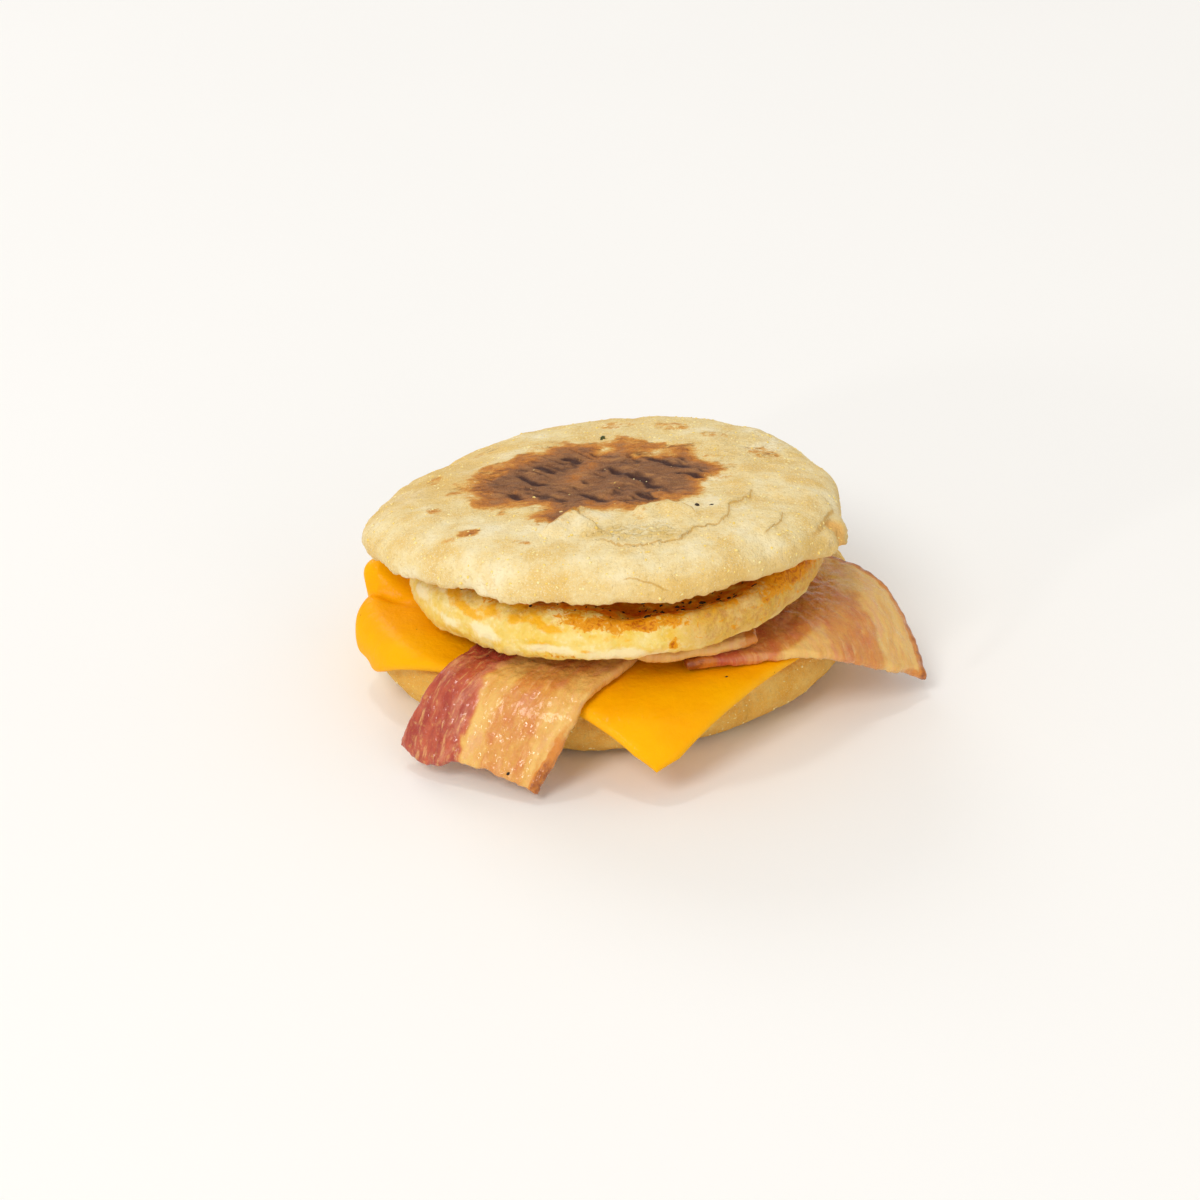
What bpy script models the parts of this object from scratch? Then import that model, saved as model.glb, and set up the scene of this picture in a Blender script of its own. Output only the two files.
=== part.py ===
"""A breakfast sandwich: a split English muffin around a cheese slice, bacon and a round fried egg.

Metres, +Z up. The origin is the centre of the face that the sandwich rests on. The side that shows
most filling faces -Y. From the bottom up the layers are the lower muffin half, the cheese slice with
two corners hanging over the muffin's rim, two bacon strips side by side, a third strip on top of
them, the egg, and the upper muffin half, which leans back.
"""

import math

import bpy
import numpy as np

# Driving dimensions
GAP = 0.0004  # free space between pieces that touch
MUFFIN_RADIUS = 0.0482
BOTTOM_HEIGHT = 0.0142
BASE_SHARE = 0.80  # radius of the face it rests on, as a share of the muffin's
BELLY_HEIGHT = 0.0078  # height at which the lower half is widest

CHEESE_THICKNESS = 0.0021
CHEESE_FRONT = (0.0078, -0.0637)  # corners of the slice as if it lay flat
CHEESE_LEFT = (-0.0522, -0.0226)
CHEESE_BACK = (-0.0100, 0.0320)
CHEESE_RIGHT = (0.0585, -0.0087)
CHEESE_RIM = 0.0455  # where it starts to bend down over the muffin

BACON_THICKNESS = 0.0022
BACON_WAVE = 0.0005  # height of the buckles that frying leaves in a strip
# Each strip: its centre line from the hidden start past a middle point to the cut end, its widths
# there, the skew of the cut, and the rim, bend radius and steepest angle with which it hangs over
BACON_LEFT = {
    "route": ((0.0020, -0.0200), (-0.0141, -0.0382), (-0.0298, -0.0562)),
    "widths": (0.0250, 0.0327),
    "skew": -0.10,
    "drape": (0.0475, 0.008, 68),
}
BACON_RIGHT = {
    "route": ((0.0140, 0.0060), (0.0340, -0.0110), (0.0436, -0.0325)),
    "widths": (0.0380, 0.0410),
    "skew": 0.19,
    "drape": (0.0460, 0.012, 45),
}
BACON_MIDDLE = {
    "route": ((0.0100, -0.0020), (0.0120, -0.0220), (0.0145, -0.0430)),
    "widths": (0.0250, 0.0270),
    "skew": 0.06,
    "drape": (0.0600, 0.012, 30),
}

EGG_RADIUS = 0.0404
EGG_THICKNESS = 0.0100  # at the front
EGG_HOLLOW = 0.0034  # rise of its underside inside the rim
EGG_CENTRE = (0.0023, -0.0094, 0.0208)  # centre of its underside
EGG_LEAN = (-4.2, 4.8)  # degrees: front up, right side up
EGG_DISH_DEPTH = 0.0026

TOP_RADIUS = 0.0457
TOP_THICKNESS = 0.0094
TOP_CENTRE = (0.0006, -0.0055, 0.0300)  # centre of its cut face
TOP_LEAN = (-9.3, 1.9)

# Heights of the undersides of what lies on the cheese, and on the first bacon strips
FIRST_LAYER = BOTTOM_HEIGHT + CHEESE_THICKNESS + 2 * GAP
SECOND_LAYER = FIRST_LAYER + BACON_THICKNESS + 2 * GAP

SEGMENTS = 60  # round the muffin halves and the egg


def smooth_step(value):
    """Goes from 0 to 1 while value does, with no corner at either end."""
    share = np.clip(value, 0.0, 1.0)
    return share * share * (3.0 - 2.0 * share)


def material(name, colour, roughness):
    """An opaque food material."""
    made = bpy.data.materials.new(name)
    made.use_nodes = True
    shader = made.node_tree.nodes["Principled BSDF"]
    shader.inputs["Base Color"].default_value = (*colour, 1.0)
    shader.inputs["Roughness"].default_value = roughness
    shader.inputs["Metallic"].default_value = 0.0
    return made


def add_object(name, points, faces, look):
    """A smooth-shaded object from points and faces."""
    mesh = bpy.data.meshes.new(name)
    mesh.from_pydata([tuple(map(float, point)) for point in points], [], faces)
    mesh.materials.append(look)
    mesh.shade_smooth()
    mesh.set_sharp_from_angle(angle=math.radians(50))
    made = bpy.data.objects.new(name, mesh)
    bpy.context.scene.collection.objects.link(made)
    return made


def round_faces(rings):
    """Faces of a closed round solid: a centre point, rings of points outward and over, a centre point."""
    faces = []
    last = 1 + rings * SEGMENTS
    for step in range(SEGMENTS):
        after = (step + 1) % SEGMENTS
        faces.append((0, 1 + after, 1 + step))
        for ring in range(rings - 1):
            inner = 1 + ring * SEGMENTS
            outer = inner + SEGMENTS
            faces.append((inner + step, inner + after, outer + after, outer + step))
        edge = 1 + (rings - 1) * SEGMENTS
        faces.append((last, edge + step, edge + after))
    return faces


def round_solid(name, profile, place, look):
    """A solid of rings: profile lists (share of radius, height), and place turns them into points."""
    angles = np.arange(SEGMENTS) * math.tau / SEGMENTS
    points = [place(0.0, profile[0][1], 0.0)]
    for share, height in profile[1:-1]:
        points.extend(place(share, height, angle) for angle in angles)
    points.append(place(0.0, profile[-1][1], 0.0))
    return add_object(name, points, round_faces(len(profile) - 2), look)


def leaning(point, centre, lean):
    """Moves a point onto a plane through centre that leans by lean[0] about X and lean[1] about Y."""
    x, y, z = point
    rise = math.tan(math.radians(lean[0])) * y + math.tan(math.radians(lean[1])) * x
    return (centre[0] + x, centre[1] + y, centre[2] + z + rise)


def uneven(angle, waves):
    """A radius factor close to 1, from waves of (count, height, phase) round the outline."""
    return 1.0 + sum(height * math.sin(count * angle + phase) for count, height, phase in waves)


def muffin_bottom(look):
    """The lower half: a flat base, a belly, and a cut face whose rim is almost as wide as the belly."""
    waves = ((2, 0.004, 0.6), (3, 0.005, 2.0), (5, 0.003, 4.1), (9, 0.002, 1.3))
    profile = [(0.0, 0.0), (0.4, 0.0), (BASE_SHARE, 0.0)]
    for step in range(1, 6):
        rise = step / 5
        swell = (1.0 - (1.0 - rise) ** 2) ** 0.65
        profile.append((BASE_SHARE + (1.0 - BASE_SHARE) * swell, BELLY_HEIGHT * rise))
    profile += [(0.993, 0.0110), (0.978, 0.0132), (0.957, BOTTOM_HEIGHT)]
    profile += [(share, BOTTOM_HEIGHT - sag) for share, sag in ((0.75, 0.0002), (0.4, 0.0004), (0.0, 0.0003))]

    def place(share, height, angle):
        radius = MUFFIN_RADIUS * share * uneven(angle, waves)
        return (radius * math.cos(angle), radius * math.sin(angle), height)

    return round_solid("muffin_bottom", profile, place, look)


def muffin_top(look):
    """The upper half: a ragged lower rim, a soft wall and a broad top with a shallow crown."""
    waves = ((2, 0.014, -1.57), (3, 0.042, -2.01), (5, 0.004, 2.6), (11, 0.003, 0.9))
    rag = ((13, 0.00025, 0.5), (19, 0.0002, 2.2))
    cut = ((0.0, 0.12), (0.4, 0.10), (0.75, 0.06), (0.965, 0.0))
    wall = ((1.0, 0.08), (1.010, 0.26), (0.998, 0.46), (0.965, 0.65), (0.905, 0.81))
    top = ((0.82, 0.92), (0.68, 0.97), (0.45, 0.99), (0.22, 1.0), (0.0, 1.0))
    profile = [(share, rise * TOP_THICKNESS) for share, rise in cut + wall + top]

    def place(share, height, angle):
        radius = TOP_RADIUS * share * uneven(angle, waves)
        at_lower_rim = share > 0.9 and height < 0.002
        if at_lower_rim:
            height += sum(size * math.sin(count * angle + phase) for count, size, phase in rag)
        return leaning((radius * math.cos(angle), radius * math.sin(angle), height), TOP_CENTRE, TOP_LEAN)

    return round_solid("muffin_top", profile, place, look)


def egg_patty(look):
    """A round fried egg with full rounded sides and a browned dish in its top."""
    waves = ((2, 0.006, -0.9), (3, 0.020, -1.57), (7, 0.004, 3.0), (12, 0.003, 1.7))
    dish = EGG_THICKNESS - EGG_DISH_DEPTH
    under = [(0.0, EGG_HOLLOW), (0.5, EGG_HOLLOW), (0.78, EGG_HOLLOW), (0.90, 0.0)]
    side = [(0.962, 0.0008), (0.992, 0.0026), (1.0, 0.0048), (0.985, 0.0072), (0.945, 0.0090)]
    over = [(0.885, EGG_THICKNESS), (0.82, 0.0095), (0.74, dish + 0.0006)]
    over += [(share, dish) for share in (0.6, 0.3, 0.0)]

    def place(share, height, angle):
        radius = EGG_RADIUS * share * uneven(angle, waves)
        x, y = radius * math.cos(angle), radius * math.sin(angle)
        thin = min(1.0, 0.94 - 0.52 * y / EGG_RADIUS)
        x, y, z = leaning((x, y, height * thin), EGG_CENTRE, EGG_LEAN)
        pressed = leaning((x - TOP_CENTRE[0], y - TOP_CENTRE[1], -2 * GAP), TOP_CENTRE, TOP_LEAN)[2]
        return (x, y, min(max(z, FIRST_LAYER), pressed))

    return round_solid("egg_patty", under + side + over, place, look)


def over_rim(x, y, rim, bend, steepest, level, lift):
    """Lays a flat point over the muffin and lets what lies past the rim bend down round its edge.

    The sheet bends on the radius bend until it hangs at the angle steepest. Level is the height of
    its underside on the muffin, and lift is the distance from there through its thickness.
    """
    radius = math.hypot(x, y)
    past = max(0.0, radius - rim)
    angle = min(past / bend, steepest)
    straight = past - bend * angle
    out = min(radius, rim) + bend * math.sin(angle) + straight * math.cos(angle) + lift * math.sin(angle)
    drop = bend * (1.0 - math.cos(angle)) + straight * math.sin(angle)
    turn = out / max(radius, 1e-9)
    return (x * turn, y * turn, level - drop + lift * math.cos(angle))


def slab_faces(columns, rows):
    """Faces of a closed slab: a lower and an upper grid of points, joined by a row round the middle."""
    faces = []
    size = columns * rows

    def at(level, column, row):
        return level * size + row * columns + column

    for row in range(rows - 1):
        for column in range(columns - 1):
            corners = [(column, row), (column + 1, row), (column + 1, row + 1), (column, row + 1)]
            faces.append(tuple(at(1, *corner) for corner in corners))
            faces.append(tuple(at(0, *corner) for corner in reversed(corners)))
    border = [(column, 0) for column in range(columns - 1)]
    border += [(columns - 1, row) for row in range(rows - 1)]
    border += [(column, rows - 1) for column in range(columns - 1, 0, -1)]
    border += [(0, row) for row in range(rows - 1, 0, -1)]
    count = len(border)
    for step, here in enumerate(border):
        after = (step + 1) % count
        middle = 2 * size + step
        middle_after = 2 * size + after
        faces.append((at(0, *here), at(0, *border[after]), middle_after, middle))
        faces.append((middle, middle_after, at(1, *border[after]), at(1, *here)))
    return border, faces


def slab(name, surface, columns, rows, inset, look):
    """A thin soft sheet. surface(u, v, h) is its point at u, v from 0 to 1 and share h of its thickness."""
    border, faces = slab_faces(columns, rows)
    points = []
    for level in (0.0, 1.0):
        for row in range(rows):
            for column in range(columns):
                u = inset + (1.0 - 2.0 * inset) * column / (columns - 1)
                v = inset + (1.0 - 2.0 * inset) * row / (rows - 1)
                points.append(surface(u, v, level))
    for column, row in border:
        points.append(surface(column / (columns - 1), row / (rows - 1), 0.5))
    return add_object(name, points, faces, look)


def cheese_slice(look):
    """A soft square slice laid corner to the front. Its front and left corners hang over the muffin."""
    corners = (CHEESE_FRONT, CHEESE_LEFT, CHEESE_BACK, CHEESE_RIGHT)
    front, left, back, right = (np.array(corner) for corner in corners)
    level = BOTTOM_HEIGHT + GAP

    def surface(u, v, h):
        flat = (front * (1 - u) + right * u) * (1 - v) + (left * (1 - u) + back * u) * v
        hollow = 0.0050 * math.sin(math.pi * v) * (1.0 - v) ** 1.5 * (1.0 - u)
        flat = flat + np.array((0.3, 1.0)) * hollow
        bulge = 0.0085 * math.exp(-(((u - 0.33) / 0.16) ** 2)) * smooth_step((v - 0.6) / 0.4)
        flat = flat + np.array((-1.0, 0.35)) * bulge
        blunt = 0.0016 * max(0.0, abs(u - 0.5) + abs(v - 0.5) - 0.92) / 0.08
        flat = flat - blunt * flat / np.linalg.norm(flat)
        across = flat[0] / np.linalg.norm(flat)
        at_left = smooth_step((-0.25 - across) / 0.5)
        at_right = smooth_step((across - 0.74) / 0.2)
        bend = 0.016 - 0.0115 * at_left - 0.007 * at_right
        steepest = math.radians(62 + 24 * at_left)
        x, y, z = over_rim(*flat, CHEESE_RIM + 0.0002 * at_left, bend, steepest, level, h * CHEESE_THICKNESS)
        ruffle = 0.0028 * math.exp(-(((flat[0] + 0.046) / 0.008) ** 2) - ((flat[1] + 0.004) / 0.007) ** 2)
        return (x, y, z + ruffle)

    return slab("cheese_slice", surface, 23, 23, 0.012, look)


def bacon_strip(name, strip, layer, look):
    """A strip along its route, draped over the muffin, with its underside at the height layer."""
    start, middle, end = (np.array(point) for point in strip["route"])
    rim, bend, steepest = strip["drape"]
    first_width, last_width = strip["widths"]

    def surface(u, v, h):
        along = u + strip["skew"] * (v - 0.5) * smooth_step((u - 0.45) / 0.55)
        centre = start * (1 - along) ** 2 + 2 * middle * along * (1 - along) + end * along**2
        way = (middle - start) * (1 - along) + (end - middle) * along
        across = np.array((-way[1], way[0])) / np.linalg.norm(way)
        width = first_width + (last_width - first_width) * u
        flat = centre + across * width * (v - 0.5)
        wave = BACON_WAVE * math.sin(9.0 * u + 2.0 * v) * smooth_step((u - 0.5) / 0.3)
        x, y, z = over_rim(*flat, rim, bend, math.radians(steepest), layer, h * BACON_THICKNESS)
        return (x, y, z + wave)

    return slab(name, surface, 19, 9, 0.02, look)


def main():
    for old in list(bpy.data.objects):
        bpy.data.objects.remove(old)
    crust = material("muffin_crust", (0.78, 0.62, 0.36), 0.85)
    cheese = material("cheese", (0.93, 0.42, 0.02), 0.35)
    meat = material("bacon", (0.60, 0.24, 0.16), 0.4)
    egg = material("egg", (0.88, 0.74, 0.36), 0.5)

    muffin_bottom(crust)
    cheese_slice(cheese)
    bacon_strip("bacon_left", BACON_LEFT, FIRST_LAYER, meat)
    bacon_strip("bacon_right", BACON_RIGHT, FIRST_LAYER, meat)
    bacon_strip("bacon_middle", BACON_MIDDLE, SECOND_LAYER, meat)
    egg_patty(egg)
    muffin_top(crust)


main()
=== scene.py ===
"""The looks of the breakfast sandwich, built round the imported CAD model.

Metres, +Z up, in the frame of the CAD: the origin is under the middle of the lower muffin half, and
the side that shows the fillings faces -Y. Each CAD solid is replaced by a finely modelled piece of
the same shape and place. Marks on the food are placed in millimetres from the middle of its piece.
"""

import math
import random

import bpy
import numpy as np
from mathutils import Matrix, Vector, noise


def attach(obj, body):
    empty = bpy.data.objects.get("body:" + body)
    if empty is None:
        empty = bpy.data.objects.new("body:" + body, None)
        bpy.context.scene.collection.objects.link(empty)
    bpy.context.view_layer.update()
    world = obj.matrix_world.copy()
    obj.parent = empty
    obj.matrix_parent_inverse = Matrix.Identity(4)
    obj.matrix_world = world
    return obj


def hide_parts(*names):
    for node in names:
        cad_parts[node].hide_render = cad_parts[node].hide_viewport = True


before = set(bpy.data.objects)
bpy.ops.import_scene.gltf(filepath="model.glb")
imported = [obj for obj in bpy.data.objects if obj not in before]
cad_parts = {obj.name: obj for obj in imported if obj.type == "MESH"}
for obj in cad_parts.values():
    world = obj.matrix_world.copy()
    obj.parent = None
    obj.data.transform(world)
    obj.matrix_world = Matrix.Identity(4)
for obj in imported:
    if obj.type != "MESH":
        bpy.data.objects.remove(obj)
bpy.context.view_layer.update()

# Sizes and places that repeat the CAD's, and how wide the edges of cheese and bacon are rounded
GAP = 0.0004
MUFFIN_RADIUS = 0.0482
BOTTOM_HEIGHT = 0.0142
BASE_SHARE = 0.80
BELLY_HEIGHT = 0.0078
BOTTOM_WAVES = ((2, 0.004, 0.6), (3, 0.005, 2.0), (5, 0.003, 4.1), (9, 0.002, 1.3))

CHEESE_THICKNESS = 0.0021
CHEESE_CORNERS = ((0.0078, -0.0637), (0.0585, -0.0087), (-0.0522, -0.0226), (-0.0100, 0.0320))
CHEESE_RIM = 0.0455
CHEESE_SIDES = (0.075, 0.073)
CHEESE_EDGE = 0.0014

BACON_THICKNESS = 0.0022
BACON_EDGE = 0.0009

EGG_RADIUS = 0.0404
EGG_THICKNESS = 0.0100
EGG_HOLLOW = 0.0034
EGG_CENTRE = (0.0023, -0.0094, 0.0208)
EGG_LEAN = (-4.2, 4.8)
EGG_DISH_DEPTH = 0.0026
EGG_WAVES = ((2, 0.006, -0.9), (3, 0.020, -1.57), (7, 0.004, 3.0), (12, 0.003, 1.7))

TOP_RADIUS = 0.0457
TOP_THICKNESS = 0.0094
TOP_CENTRE = (0.0006, -0.0055, 0.0300)
TOP_LEAN = (-9.3, 1.9)
TOP_WAVES = ((2, 0.014, -1.57), (3, 0.042, -2.01), (5, 0.004, 2.6), (11, 0.003, 0.9))

FIRST_LAYER = BOTTOM_HEIGHT + CHEESE_THICKNESS + 2 * GAP
SECOND_LAYER = FIRST_LAYER + BACON_THICKNESS + 2 * GAP

MM = 0.001

# Finely modelled, as rings and segments or as steps along and across
TOP_MESH = (150, 520)
BOTTOM_MESH = (110, 460)
EGG_MESH = (110, 500)
CHEESE_MESH = (140, 140)
BACON_MESH = (140, 90)


# Numbers over whole arrays of points


def smooth_step(value):
    """Goes from 0 to 1 while value does, with no corner at either end."""
    share = np.clip(value, 0.0, 1.0)
    return share * share * (3.0 - 2.0 * share)


def grows(value, low, high):
    """0 below low, 1 above high, and smooth between."""
    return smooth_step((value - low) / (high - low))


def falls(value, low, high):
    """1 below low, 0 above high, and smooth between."""
    return 1.0 - grows(value, low, high)


def between(value, start, full, fading, gone):
    """1 from full to fading, 0 below start and above gone, and smooth in between."""
    return grows(value, start, full) * falls(value, fading, gone)


def bell(distance, width):
    """1 where distance is 0, falling off over about width."""
    return np.exp(-((distance / width) ** 2))


def rough(points, size, octaves, shift, stretch=(1.0, 1.0, 1.0)):
    """Smooth noise of about -1 to 1 at each point, in bumps about size mm across."""
    place = points / (size * MM * np.array(stretch)) + np.array((shift, 2.3 * shift, 11.0 - shift))
    return np.array([noise.fractal(at, 0.9, 2.0, octaves) for at in place.tolist()])


def bumpy(points, *waves):
    """Bumps in mm at each point, summed from waves of (height, size, octaves, shift)."""
    return sum(height * rough(points, size, octaves, shift) for height, size, octaves, shift in waves)


def pits(points, size, shift=0.0):
    """1 in the middle of each of many scattered round cells about size mm across, 0 at their edges."""
    place = points / (size * MM) + shift
    near = np.array([noise.voronoi(at)[0][0] for at in place.tolist()])
    return smooth_step(1.0 - near / 0.55)


def wavy(radius, waves):
    """An outline, as the radius at an angle, with waves of (count, height, phase) round it."""

    def outline(angle):
        return radius * (1.0 + sum(high * np.sin(count * angle + phase) for count, high, phase in waves))

    return outline


def from_behind(angle):
    """The angle in degrees, from -180 to 180."""
    return (np.degrees(angle) + 180.0) % 360.0 - 180.0


def turned(x, y, degrees):
    """The coordinates x, y seen from axes turned by degrees."""
    cos, sin = math.cos(math.radians(degrees)), math.sin(math.radians(degrees))
    return x * cos + y * sin, y * cos - x * sin


def blob(x, y, centre, radii, degrees=0.0):
    """1 in the middle of an ellipse, 0 at its edge, and negative outside."""
    along, across = turned(x - centre[0], y - centre[1], degrees)
    return 1.0 - np.hypot(along / radii[0], across / radii[1])


def to_line(x, y, line):
    """Distance to a line through points, which side it is on (+1 is left), and the share along it."""
    line = np.array(line, float)
    steps = np.linalg.norm(np.diff(line, axis=0), axis=1)
    gone = np.concatenate([[0.0], np.cumsum(steps)]) / steps.sum()
    nearest = np.full(x.shape, np.inf)
    side, share = np.ones(x.shape), np.zeros(x.shape)
    for index, (start, end) in enumerate(zip(line[:-1], line[1:])):
        way = end - start
        part = np.clip(((x - start[0]) * way[0] + (y - start[1]) * way[1]) / (way @ way), 0.0, 1.0)
        away_x, away_y = x - start[0] - part * way[0], y - start[1] - part * way[1]
        distance = np.hypot(away_x, away_y)
        closer = distance < nearest
        nearest = np.where(closer, distance, nearest)
        side = np.where(closer, np.sign(way[0] * away_y - way[1] * away_x), side)
        share = np.where(closer, gone[index] + part * (gone[index + 1] - gone[index]), share)
    return nearest, side, share


def inside(x, y, outline):
    """Distance to a closed outline, positive inside it and negative outside."""
    distance = to_line(x, y, list(outline) + [outline[0]])[0]
    within = np.zeros(x.shape, bool)
    for (ax, ay), (bx, by) in zip(outline, list(outline[1:]) + [outline[0]]):
        if ay != by:
            crosses = (ay > y) != (by > y)
            within ^= crosses & (x < (bx - ax) * (y - ay) / (by - ay) + ax)
    return np.where(within, distance, -distance)


def smooth_path(points, count):
    """count points evenly spaced along a smooth curve through points."""
    points = np.array(points, float)
    steps = np.linalg.norm(np.diff(points, axis=0), axis=1)
    along = np.concatenate([[0.0], np.cumsum(steps)])
    slopes = np.gradient(points, along, axis=0)
    fine = np.linspace(0.0, along[-1], 40 * len(points))
    index = np.clip(np.searchsorted(along, fine, side="right") - 1, 0, len(steps) - 1)
    step = steps[index][:, None]
    t = (fine[:, None] - along[index][:, None]) / step
    first, last = points[index], points[index + 1]
    path = first * (2 * t**3 - 3 * t**2 + 1) + last * (3 * t**2 - 2 * t**3)
    path = path + step * (slopes[index] * (t**3 - 2 * t**2 + t) + slopes[index + 1] * (t**3 - t**2))
    gone = np.concatenate([[0.0], np.cumsum(np.linalg.norm(np.diff(path, axis=0), axis=1))])
    even = np.linspace(0.0, gone[-1], count)
    return np.stack([np.interp(even, gone, path[:, axis]) for axis in range(2)], axis=1)


def leaning(points, centre, lean):
    """Moves points onto a plane through centre that leans by lean[0] about X and lean[1] about Y."""
    moved = points + np.array(centre)
    about_x, about_y = (math.tan(math.radians(degrees)) for degrees in lean)
    moved[:, 2] += about_x * points[:, 1] + about_y * points[:, 0]
    return moved


# Meshes


def add_object(name, data):
    made = bpy.data.objects.new(name, data)
    bpy.context.scene.collection.objects.link(made)
    return made


def make_piece(name, points, faces):
    """A smooth-shaded object from an array of points and a list of faces."""
    mesh = bpy.data.meshes.new(name)
    mesh.from_pydata(points.tolist(), [], faces)
    mesh.shade_smooth()
    return add_object(name, mesh)


def rows_of(values, key):
    found = np.empty(len(values) * 3, np.float32)
    values.foreach_get(key, found)
    return found.reshape(-1, 3).astype(float)


def points_of(piece):
    return rows_of(piece.data.vertices, "co")


def normals_of(piece):
    return rows_of(piece.data.vertex_normals, "vector")


def pushed(points, normals, bumps):
    """The points, moved out along their normals by bumps in mm."""
    return points + normals * (MM * bumps)[:, None]


def move_points(piece, points):
    piece.data.vertices.foreach_set("co", points.astype(np.float32).ravel())
    piece.data.update()


def paint(piece, **fields):
    """Keeps each named array of numbers on the piece's points, for its material to read."""
    for name, values in fields.items():
        attribute = piece.data.attributes.new(name, "FLOAT", "POINT")
        attribute.data.foreach_set("value", np.asarray(values, np.float32))


def round_piece(name, profile, counts, outline, other=None, share_of_other=None):
    """A closed round piece. profile lists (share of radius, height); outline gives the radius at an angle.

    counts are its rings and segments. Where share_of_other(angle) is 1, the piece follows the profile
    other instead. Returns the piece with the radius share, the height and the angle of all its points.
    """
    rings, segments = counts
    radius = outline(np.zeros(1))[0]
    angles = np.arange(segments) * math.tau / segments

    def path_of(points):
        scaled = [(share * radius, height) for share, height in points]
        return smooth_path(scaled, rings + 2) / np.array((radius, 1.0))

    def spread_out(column):
        return np.concatenate([column[:1], np.repeat(column[1:-1], segments), column[-1:]])

    angle = np.concatenate([[0.0], np.tile(angles, rings), [0.0]])
    path = path_of(profile)
    share, height = spread_out(path[:, 0]), spread_out(path[:, 1])
    if other is not None:
        other_path = path_of(other)
        part = share_of_other(angle)
        share = share + part * (spread_out(other_path[:, 0]) - share)
        height = height + part * (spread_out(other_path[:, 1]) - height)
    reach = share * outline(angle)
    points = np.stack([reach * np.cos(angle), reach * np.sin(angle), height], axis=1)
    here = np.arange(segments)
    after = (here + 1) % segments
    faces = [(0, 1 + b, 1 + a) for a, b in zip(here, after)]
    for ring in range(rings - 1):
        inner = 1 + ring * segments
        outer = inner + segments
        faces += np.stack([inner + here, inner + after, outer + after, outer + here], axis=1).tolist()
    last = 1 + rings * segments
    edge = last - segments
    faces += [(last, edge + a, edge + b) for a, b in zip(here, after)]
    return make_piece(name, points, faces), share, height, angle


def edge_steps(count, edge):
    """Places from 0 to 1 that lie closer together within edge of either end."""
    ends = edge * (1.0 - np.cos(np.linspace(0.0, math.pi / 2, 6)))
    middle = np.linspace(edge, 1.0 - edge, count)[1:-1]
    return np.concatenate([ends, middle, 1.0 - ends[::-1]])


def sheet_piece(name, surface, counts, sides, soft_edge):
    """A closed sheet with rounded edges. surface(u, v, h) gives points; sides are its rough lengths.

    counts are its steps along and across. Returns the piece with the u and v of all its points.
    """
    us = edge_steps(counts[0], soft_edge / sides[0])
    vs = edge_steps(counts[1], soft_edge / sides[1])
    u, v = np.meshgrid(us, vs, indexing="ij")
    from_edge = np.minimum(np.minimum(u, 1 - u) * sides[0], np.minimum(v, 1 - v) * sides[1])
    swell = np.sqrt(1.0 - (1.0 - np.clip(from_edge / soft_edge, 0.0, 1.0)) ** 2)
    rows, columns = u.shape
    index = np.arange(rows * columns).reshape(rows, columns)
    border = from_edge.ravel() <= 0.0
    under_index = np.where(border, np.arange(border.size), border.size + np.cumsum(~border) - 1)
    under_index = under_index.reshape(rows, columns)
    u_all = np.concatenate([u.ravel(), u.ravel()[~border]])
    v_all = np.concatenate([v.ravel(), v.ravel()[~border]])
    h_all = np.concatenate([0.5 + 0.5 * swell.ravel(), 0.5 - 0.5 * swell.ravel()[~border]])
    points = surface(u_all, v_all, h_all)

    def quads(grid):
        corners = grid[:-1, :-1], grid[1:, :-1], grid[1:, 1:], grid[:-1, 1:]
        return np.stack(corners, axis=-1).reshape(-1, 4)

    faces = np.concatenate([quads(index), quads(under_index)[:, ::-1]]).tolist()
    return make_piece(name, points, faces), u_all, v_all


# Materials


def tone(red, green, blue):
    """A colour given in everyday 0 to 255 numbers, as the shader wants it."""
    shares = [part / 255.0 for part in (red, green, blue)]
    linear = [s / 12.92 if s <= 0.04045 else ((s + 0.055) / 1.055) ** 2.4 for s in shares]
    return (*linear, 1.0)


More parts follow.
